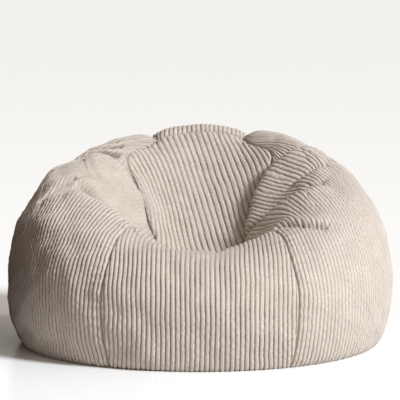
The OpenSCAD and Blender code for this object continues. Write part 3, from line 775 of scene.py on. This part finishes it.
def woven(name, colour, pitch, rough=0.85, depth=0.0004):
    """Plain weave on Object coordinates: two crossed sines a thread apart, with uneven threads."""
    mat, tree, shader = nodes_of(name)
    where = tree.nodes.new("ShaderNodeTexCoord").outputs["Object"]
    split = tree.nodes.new("ShaderNodeSeparateXYZ")
    tree.links.new(where, split.inputs[0])
    turn = math.pi / pitch
    one_way = maths(tree, "ADD", split.outputs[0], split.outputs[2])
    other_way = maths(tree, "ADD", split.outputs[1], split.outputs[2])
    warp = maths(tree, "SINE", maths(tree, "MULTIPLY", one_way, turn))
    weft = maths(tree, "SINE", maths(tree, "MULTIPLY", other_way, turn))
    weave = maths(tree, "MULTIPLY_ADD", maths(tree, "MULTIPLY", warp, weft), 0.5)
    weave = maths(tree, "ADD", weave, 0.5)
    low = tuple(c * 0.72 for c in colour)
    base = ramp(tree, weave, [(0.1, low), (0.8, colour)])
    uneven = ramp(tree, noise(tree, where, 60.0, 4.0), [(0.3, (0.86, 0.86, 0.86)), (0.7, (1.0, 1.0, 1.0))])
    tree.links.new(multiply(tree, base, uneven), shader.inputs["Base Color"])
    bump = node(tree, "ShaderNodeBump", Strength=0.6, Distance=depth)
    tree.links.new(weave, bump.inputs["Height"])
    tree.links.new(bump.outputs[0], shader.inputs["Normal"])
    shader.inputs["Roughness"].default_value = rough
    shader.inputs["Sheen Weight"].default_value = 0.15
    return mat


def plain(name, colour, rough=0.6, metal=0.0, grain=0.0, scale=400.0, distance=0.0005):
    """A grained material: a slight colour mottle and a fine bump on Object coordinates."""
    mat, tree, shader = nodes_of(name)
    where = tree.nodes.new("ShaderNodeTexCoord").outputs["Object"]
    speckle = noise(tree, where, scale, 4.0)
    low = tuple(c * 0.82 for c in colour)
    tree.links.new(ramp(tree, speckle, [(0.3, low), (0.7, colour)]), shader.inputs["Base Color"])
    bump = node(tree, "ShaderNodeBump", Strength=grain, Distance=distance)
    tree.links.new(speckle, bump.inputs["Height"])
    tree.links.new(bump.outputs[0], shader.inputs["Normal"])
    shader.inputs["Roughness"].default_value = rough
    shader.inputs["Metallic"].default_value = metal
    return mat


# the dark colour is painted shade at the bottom of the grooves between the cords; the light one is the cloth
# on the cords' tops
CORD_LIGHT = (0.500, 0.440, 0.389)
CORD_GROOVE_SHADE = (0.241, 0.169, 0.121)
CORD = corduroy("cream_corduroy", CORD_LIGHT, CORD_GROOVE_SHADE)
SEAM_CLOTH = plain("folded_corduroy", (0.43, 0.36, 0.30), 0.95, 0.0, 0.6, 500.0, 0.0006)
THREAD = plain("sewing_thread", (0.55, 0.47, 0.40), 0.7, 0.0, 0.5, 2500.0, 0.0002)
CANVAS = woven("base_canvas", (0.46, 0.40, 0.34), 0.0012)
TAPE = woven("zip_tape_weave", (0.45, 0.39, 0.33), 0.0009)
NYLON = plain("zip_nylon", (0.62, 0.58, 0.52), 0.35, 0.0, 0.15, 900.0, 0.0001)
ZINC = plain("zip_zinc", (0.50, 0.50, 0.51), 0.32, 1.0, 0.12, 700.0, 0.0001)
LINER = woven("liner_nonwoven", (0.74, 0.74, 0.72), 0.0016, 0.8, 0.0002)
HOOKS = plain("hook_tape", (0.62, 0.61, 0.58), 0.6, 0.0, 0.9, 900.0, 0.0008)
LOOPS = plain("loop_tape", (0.66, 0.65, 0.62), 0.95, 0.0, 0.8, 500.0, 0.0008)
BEADS = plain("polystyrene_beads", (0.86, 0.86, 0.85), 0.55, 0.0, 1.0, 260.0, 0.002)


# ---------------------------------------------------------------- the cover's panels
def seat_lean(y):
    """The seat-back's cords lean more towards the top of the back."""
    top = y.max()
    return 0.13 * y + 0.14 * y * y / (2 * top)


def no_lean(y):
    return 0 * y


for number, (key, (cad_node, flip)) in enumerate(PANELS.items()):
    stretch = SEAT_STRETCH if key == "seat" else 1.0
    pts, quads, tris, uv, pile = panel_arrays(
        GRIDS[key], CUT[key], flip, seat_lean if key == "seat" else no_lean, 40 + 7 * number,
        key in ("left", "right"), stretch)
    obj = make_mesh(cad_node + "_cloth", pts, quads, tris, uv, pile)
    obj.data.materials.append(CORD)
    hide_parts(cad_node)
    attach(obj, "bag")


# ---------------------------------------------------------------- seams and stitches
def grid_normals(key):
    g = GRIDS[key]
    n = unit(np.cross(np.gradient(g, axis=1), np.gradient(g, axis=0)))
    return -n if PANELS[key][1] else n


def frames_along(line, normals, step):
    """Points, normals, tangents and sideways directions every step along a line."""
    both = np.concatenate([line, normals], -1)[:, None, :]
    run = np.concatenate([[0], np.cumsum(np.linalg.norm(np.diff(line, axis=0), axis=-1))])
    at = np.interp(np.arange(0, run[-1], step), run, np.arange(len(run)))
    val, _ = sample_rows(both, at)
    p, n = val[:, 0, :3], unit(val[:, 0, 3:])
    t = unit(np.gradient(p, axis=0))
    n = unit(n - t * np.sum(n * t, -1, keepdims=True))
    return p, n, t, np.cross(t, n)


def ring_quads(rings, sides):
    """Faces of a stack of closed rings, sides points to each."""
    i, j = np.meshgrid(np.arange(rings - 1), np.arange(sides), indexing="ij")
    k = (j + 1) % sides
    here = i * sides
    return np.stack([here + j, here + sides + j, here + sides + k, here + k], -1).reshape(-1, 4)


def swept(frames, section):
    """A closed bar: a section of [sideways, outwards] points carried along frames, with end caps."""
    p, n, t, b = frames
    q = p[:, None] + section[None, :, :1] * b[:, None] + section[None, :, 1:] * n[:, None]
    rows, m = q.shape[:2]
    fan = np.arange(1, m - 1)
    last = (rows - 1) * m
    start_cap = np.stack([0 * fan, fan, fan + 1], -1)
    end_cap = np.stack([last + 0 * fan, last + fan + 1, last + fan], -1)
    return q.reshape(-1, 3), ring_quads(rows, m), np.concatenate([start_cap, end_cap])


def oval(half_wide, half_high, centre, sides=8):
    """An ellipse as a section, its middle that far outwards."""
    a = np.linspace(0, 2 * np.pi, sides, endpoint=False)
    return np.stack([half_wide * np.cos(a), centre + half_high * np.sin(a)], -1)


def stitches(frames, offset, height, length, pitch, thick=0.0011):
    """A row of stitches beside a seam: each is a short bar, 6 sides by 5 rings, that dips into the
    cloth at both ends."""
    p, n, t, b = frames
    run = np.concatenate([[0], np.cumsum(np.linalg.norm(np.diff(p, axis=0), axis=-1))])
    at = np.interp(np.arange(pitch, run[-1] - pitch, pitch), run, np.arange(len(run))).astype(int)
    ring = np.linspace(-1, 1, 5)
    a = np.linspace(0, 2 * np.pi, 6, endpoint=False)
    wide = thick / 2 * np.sqrt(np.clip(1 - 0.96 * ring**4, 0.05, 1))
    lift = height - 0.0016 * ring**4
    axis = p[at][:, None] + ring[None, :, None] * (length / 2) * t[at][:, None] + offset * b[at][:, None]
    axis = axis + lift[None, :, None] * n[at][:, None]
    spoke = np.cos(a)[:, None] * b[at][:, None, None] + np.sin(a)[:, None] * n[at][:, None, None]
    out = axis[:, :, None] + wide[:, None, None] * spoke
    ends = np.array([[0, 1, 2, 3], [0, 3, 4, 5], [27, 26, 25, 24], [29, 28, 27, 24]])
    one = np.concatenate([ring_quads(5, 6), ends])
    quads = (one[None] + 30 * np.arange(len(at))[:, None, None]).reshape(-1, 4)
    return out.reshape(-1, 3), quads


def merged(parts):
    """Several [points, quads, triangles] as one set of arrays."""
    pts, quads, tris, start = [], [], [], 0
    for part in parts:
        pts.append(part[0])
        quads.append(part[1] + start)
        if len(part) > 2:
            tris.append(part[2] + start)
        start += len(part[0])
    return np.concatenate(pts), np.concatenate(quads), np.concatenate(tris) if tris else None


def piece(name, arrays, material, slot, *replaced):
    """A finished piece of the bag from arrays, kept off the floor, in place of the CAD nodes named."""
    pts, *faces = arrays[:3]
    pts = np.array(pts, float)
    pts[:, 2] = np.maximum(pts[:, 2], FLOOR_CLEAR)
    obj = make_mesh(name, pts, *faces)
    obj.data.materials.append(material)
    if replaced:
        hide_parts(*replaced)
    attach(obj, "bag")
    return obj


def side_line(side):
    """The long seam of one side, with the mean of its two panels' normals."""
    c = -1 if side == "right" else 0
    strip = [GRIDS["front"][:, c], GRIDS["seat"][1:, c], GRIDS["rear"][::-1][1:, c]]
    a = [grid_normals(k) for k in ("front", "seat", "rear")]
    inner = np.concatenate([a[0][:, c], a[1][1:, c], a[2][::-1][1:, c]])
    g = grid_normals(side)
    outer = np.concatenate([g[:, 0], g[-1, 1:], g[::-1][1:, -1]])
    return np.concatenate(strip), unit(inner + outer)


def topstitching(frames):
    """Two rows of stitches, one on each side of a seam."""
    return merged([stitches(frames, STITCH_BESIDE * s, -0.0004, STITCH_LENGTH, STITCH_PITCH) for s in (-1, 1)])


WELT = oval(0.0017, 0.0022, -0.0058)
for side in ("right", "left"):
    line, normals = side_line(side)
    frames = frames_along(line[3:-3], normals[3:-3], SEAM_STEP)
    piece(side + "_side_seam_fold", swept(frames, WELT), SEAM_CLOTH, "seam_fabric", side + "_side_seam")
    piece(side + "_side_seam_stitches", topstitching(frames), THREAD, "seam_fabric")

for name, g_low, g_high in (("seat_seam", "front", "seat"), ("top_back_seam", "seat", "rear")):
    line = GRIDS[g_high][0] if g_high == "seat" else GRIDS[g_low][-1]
    n_low = grid_normals(g_low)[-1]
    n_high = grid_normals(g_high)[0] if g_high == "seat" else grid_normals(g_high)[-1]
    frames = frames_along(line, unit(n_low + n_high), SEAM_STEP)
    piece(name + "_fold", swept(frames, WELT), SEAM_CLOTH, "seam_fabric", name)
    piece(name + "_stitches", topstitching(frames), THREAD, "seam_fabric")


# ---------------------------------------------------------------- base, hems and zip
def arc_per_r(r):
    """Length of cloth per unit of the disc's radius, below the widest line."""
    q = np.radians(90 * (r - WIDEST_R) / (1 - WIDEST_R))
    return np.pi / 2 / (1 - WIDEST_R) * np.hypot(FLOOR_TUCK * np.sin(q), WIDEST_HEIGHT * np.cos(q))


def under(th, q):
    """The underside: q from 0 at its middle to 1 at the base seam, by length along the cloth."""
    reach = base_rho(th)
    e = LOWER_ARC * (1 - seam_r(th))
    g = zip_gap(th)
    real = e * arc_per_r(seam_r(th)) / LOWER_ARC
    end = reach + np.where(real >= g, e - g * LOWER_ARC / arc_per_r(seam_r(th)), real - g)
    length = end * q
    floor_part = np.stack([length * np.sin(np.radians(th)), -length * np.cos(np.radians(th)), 0 * length], -1)
    rest = bag(th, np.minimum(1.0, 1 - (length - reach) / LOWER_ARC))
    return np.where((length <= reach)[..., None], floor_part, rest), length, end


BASE_SIDES = 288
BASE_RINGS = 90


def base_arrays():
    """The base panel: rings of the underside, from a point in its middle out to the base seam, sunk
    by shallow ripples of crossed sines and by a bell curve at the seam."""
    th = np.linspace(0, 360, BASE_SIDES, endpoint=False)
    p, length, end = under(*np.meshgrid(th, np.linspace(0.004, 1, BASE_RINGS)))
    around = np.roll(p, -1, 1) - np.roll(p, 1, 1)
    n = unit(np.cross(np.gradient(p, axis=0), around))
    inwards = (n * (p - np.array([0, 0, WIDEST_HEIGHT]))).sum(-1, keepdims=True) < 0
    n = np.where(inwards, -n, n)
    ripple = 0.0008 * (1 + np.sin(p[..., 0] * 52 + 2 * np.sin(p[..., 1] * 31)))
    ripple += 0.0035 * gauss(end - length, 0.006)
    p = p - n * ripple[..., None]
    p[..., 2] = np.maximum(p[..., 2], FLOOR_CLEAR)
    pts = np.concatenate([p.reshape(-1, 3), [[0, 0, FLOOR_CLEAR]]])
    hub = np.arange(BASE_SIDES)
    tris = np.stack([np.full(BASE_SIDES, len(pts) - 1), hub, (hub + 1) % BASE_SIDES], -1)
    return pts, ring_quads(BASE_RINGS, BASE_SIDES), tris


BASE = piece("base_panel_cloth", base_arrays(), CANVAS, "base_fabric", "base_panel")

seam_th = np.linspace(-(180 - ZIP_HALF_ANGLE - 2.6), 180 - ZIP_HALF_ANGLE - 2.6, 300)
seam_p = bag(seam_th, seam_r(seam_th))
seam_n = unit(seam_p * np.array([1, 1, 0]) + np.array([0, 0, -0.25]))
frames = frames_along(seam_p, seam_n, 0.006)
piece("base_seam_fold", swept(frames, oval(0.0026, 0.0026, -0.0035)), SEAM_CLOTH, "seam_fabric", "base_seam")

ZIP_Q = math.radians(-ZIP_PHI)
ZIP_RHO = HALF_DEPTH - FLOOR_TUCK + FLOOR_TUCK * math.cos(ZIP_Q)
ZIP_TILT = math.atan2(math.sin(ZIP_Q) / WIDEST_HEIGHT, math.cos(ZIP_Q) / FLOOR_TUCK)


def zip_point(a, s, n):
    """A point of the zip: angle a from straight behind, s up the cloth, n outwards."""
    rho = ZIP_RHO + s * math.sin(ZIP_TILT) + n * math.cos(ZIP_TILT)
    z = ZIP_HEIGHT + s * math.cos(ZIP_TILT) - n * math.sin(ZIP_TILT)
    a = np.radians(a)
    return np.stack([-rho * np.sin(a), rho * np.cos(a), z + 0 * a], -1)


def zip_frames(angles, s):
    """Frames along the zip at angles in degrees from straight behind, s up the cloth."""
    p = zip_point(angles, s, 0.0)
    n = unit(zip_point(angles, s, 0.001) - p)
    t = unit(np.gradient(p, axis=0))
    return p, n, t, np.cross(t, n)


def zip_span(half_angle, step):
    return np.arange(-half_angle, half_angle + 1e-6, step)


FACING = oval(0.0150, 0.0008, -0.0062)
for name, end in (("zip_end_facing_closed", 1), ("zip_end_facing_open", -1)):
    angles = end * np.linspace(ZIP_HALF_ANGLE + 0.3, ZIP_HALF_ANGLE + 4.0, 8)
    piece(name, swept(zip_frames(angles, 0.0), FACING), SEAM_CLOTH, "seam_fabric")

HEM = np.array([[-0.0060, -0.0032], [-0.0062, -0.0004], [-0.0045, 0.0007], [0.0, 0.0010], [0.0045, 0.0007],
                [0.0062, -0.0004], [0.0060, -0.0032], [0.0, -0.0036]])[::-1]
for name, up in (("zip_hem_upper", 1), ("zip_hem_lower", -1)):
    hem = zip_frames(zip_span(ZIP_HALF_ANGLE + 1.2, 1.0), up * HEM_BESIDE)
    piece(name, swept(hem, HEM), SEAM_CLOTH, "seam_fabric")
    sewn = zip_frames(zip_span(ZIP_HALF_ANGLE, 0.1), up * HEM_BESIDE)
    piece(name + "_stitches", stitches(sewn, -0.0025 * up, 0.0008, 0.0035, 0.0055), THREAD, "seam_fabric")


def coil(sign, phase):
    """One side of the zip's nylon coil: a thin tube on a flattened helix, COIL_PITCH from turn to turn."""
    half = ZIP_HALF_ANGLE - 0.8
    turns = int(2 * math.radians(half) * ZIP_RHO / COIL_PITCH)
    t = np.linspace(0, turns, turns * 9 + 1)
    a = -half + 2 * half * t / turns
    spin = 2 * np.pi * (t + phase)
    s = sign * (0.0023 - 0.00135 * np.cos(spin))
    n = -0.0028 + 0.0011 * np.sin(spin)
    r = np.radians(a)
    p = zip_point(a, s, n)
    tangent = unit(np.gradient(p, axis=0))
    along = np.stack([-np.cos(r), -np.sin(r), 0 * r], -1)
    side_dir = unit(np.cross(tangent, along))
    return swept((p, side_dir, tangent, np.cross(tangent, side_dir)), oval(0.00032, 0.00032, 0.0, 5))


piece("zip_coil_upper_turns", coil(1, 0.0), NYLON, "zip_coil", "zip_coil_upper")
piece("zip_coil_lower_turns", coil(-1, 0.5), NYLON, "zip_coil", "zip_coil_lower")


# ---------------------------------------------------------------- liner and beads
CAP_RINGS = 16


def inner_shell(depth, every, lumps):
    """A closed shell at a depth under the cover: every so many points of each panel's control grid,
    moved inwards and into the creases, with lumps of crossed sines, and a flat underside of rings
    that close in to its middle."""
    keys = list(GRIDS)
    parts, edges = [], []
    for key in keys:
        g, n = GRIDS[key][::every, ::every], grid_normals(key)[::every, ::every]
        q = g - n * depth + creased(CUT[key][::every, ::every], 2.4 * CREASE_WIDTH)
        q[..., 2] = np.maximum(q[..., 2], depth)
        wave = np.sin(q[..., :1] * 210) * np.sin(q[..., 1:2] * 190 + 1) * np.sin(q[..., 2:] * 230)
        q = q + n * (lumps * (1 + wave))
        rows, cols = q.shape[:2]
        i, j = np.meshgrid(np.arange(rows - 1), np.arange(cols - 1), indexing="ij")
        c00 = i * cols + j
        f = np.stack([c00, c00 + 1, c00 + cols + 1, c00 + cols], -1).reshape(-1, 4)
        parts.append((q.reshape(-1, 3), f[:, ::-1] if PANELS[key][1] else f))
        edges.append(q)
    front, rear = edges[keys.index("front")][0], edges[keys.index("rear")][0]
    right, left = edges[keys.index("right")][0], edges[keys.index("left")][0]
    ring = np.concatenate([front[:-1], right[:-1], rear[::-1][:-1], left[::-1][:-1]])
    share = np.linspace(1, 0.02, CAP_RINGS)[:, None, None]
    fall = np.maximum(share - 0.86, 0) / 0.14
    cap = ring[None] * share
    cap[..., 2] = (depth + (ring[:, 2] - depth) * fall[..., 0])
    m = len(ring)
    hub = np.arange(m)
    last = (CAP_RINGS - 1) * m
    t = np.stack([last + (hub + 1) % m, last + hub, np.full(m, CAP_RINGS * m)], -1)
    parts.append((np.concatenate([cap.reshape(-1, 3), [[0, 0, depth]]]), ring_quads(CAP_RINGS, m), t))
    return merged(parts)


piece("inner_liner_cloth", inner_shell(LINER_DEPTH, 4, 0.0), LINER, "liner_fabric", "inner_liner")
beads = piece("bead_fill_beads", inner_shell(BEAD_DEPTH, 4, 0.0002), BEADS, "bead_foam", "bead_fill")

for cad_node, material in (("zip_tape_upper", TAPE), ("zip_tape_lower", TAPE), ("zip_stop_closed", ZINC),
                           ("zip_stop_open", ZINC), ("zip_slider", ZINC), ("zip_pull_tab", ZINC),
                           ("liner_hook_strip", HOOKS), ("liner_loop_strip", LOOPS)):
    bpy.data.objects[cad_node].data.materials.clear()
    bpy.data.objects[cad_node].data.materials.append(material)


# ---------------------------------------------------------------- room, light and camera
def stage_room():
    bpy.ops.mesh.primitive_plane_add(size=600, location=(0, 0, 0))
    floor = bpy.context.object
    floor.name = "floor"
    mat, tree, shader = nodes_of("pale_floor")
    shader.inputs["Base Color"].default_value = (0.97, 0.967, 0.962, 1)
    shader.inputs["Roughness"].default_value = 0.22
    shader.inputs["Specular IOR Level"].default_value = 0.32
    floor.data.materials.append(mat)


def soft_key(name, direction, strength, softness):
    """A large, far studio light: it comes from a direction and is softness degrees wide."""
    data = bpy.data.lights.new(name, "SUN")
    data.energy = strength
    data.color = (0.90, 0.95, 1.0)
    data.angle = math.radians(softness)
    obj = bpy.data.objects.new(name, data)
    bpy.context.collection.objects.link(obj)
    d = np.array(direction, float)
    obj.location = d
    obj.rotation_euler = (math.atan2(math.hypot(d[0], d[1]), d[2]), 0, math.atan2(d[0], -d[1]))


def flag(name, corners):
    """A dark card beside the object, out of the camera's view, that keeps light off one side."""
    mesh = bpy.data.meshes.new(name)
    mesh.from_pydata(corners, [], [(0, 1, 2, 3)])
    card = bpy.data.objects.new(name, mesh)
    bpy.context.collection.objects.link(card)
    mat, tree, shader = nodes_of("dark_card")
    shader.inputs["Base Color"].default_value = (0.05, 0.03, 0.018, 1)
    shader.inputs["Roughness"].default_value = 1.0
    card.data.materials.append(mat)
    card.visible_camera = False
    card.visible_glossy = False


def light_room():
    bpy.context.scene.view_settings.view_transform = "Standard"
    world = bpy.data.worlds.new("room")
    bpy.context.scene.world = world
    world.use_nodes = True
    world.node_tree.nodes["Background"].inputs[0].default_value = (1.0, 0.92, 0.83, 1)
    world.node_tree.nodes["Background"].inputs[1].default_value = 0.48
    soft_key("key", (4.3, -3.0, 3.5), 5.1, 12.0)
    top = 0.42
    flag("left_flag", [(-0.53, -0.15, 0.0), (-0.53, 0.35, 0.0), (-0.52, 0.35, top), (-0.52, -0.15, top)])
    flag("front_flag", [(-0.53, -0.15, 0.0), (-0.52, -0.15, top), (-0.43, -0.50, top), (-0.44, -0.50, 0.14)])


CAMERA_ELEVATION = 8.0
CAMERA_DISTANCE = 5.5
VIEW_WIDTH = 400 / 405  # metres across the picture at the object's distance
SENSOR_WIDTH = 36.0
TARGET_HEIGHT = 0.26


def set_camera():
    scene = bpy.context.scene
    data = bpy.data.cameras.new("camera")
    cam = bpy.data.objects.new("camera", data)
    bpy.context.collection.objects.link(cam)
    data.sensor_width = SENSOR_WIDTH
    data.lens = SENSOR_WIDTH * CAMERA_DISTANCE / VIEW_WIDTH
    e = math.radians(CAMERA_ELEVATION)
    cam.location = (0.0, -CAMERA_DISTANCE * math.cos(e), TARGET_HEIGHT + CAMERA_DISTANCE * math.sin(e))
    cam.rotation_euler = (math.pi / 2 - e, 0, 0)
    data.shift_y = 0.0908
    data.clip_end = 100
    scene.camera = cam


stage_room()
light_room()
set_camera()

bpy.context.view_layer.update()
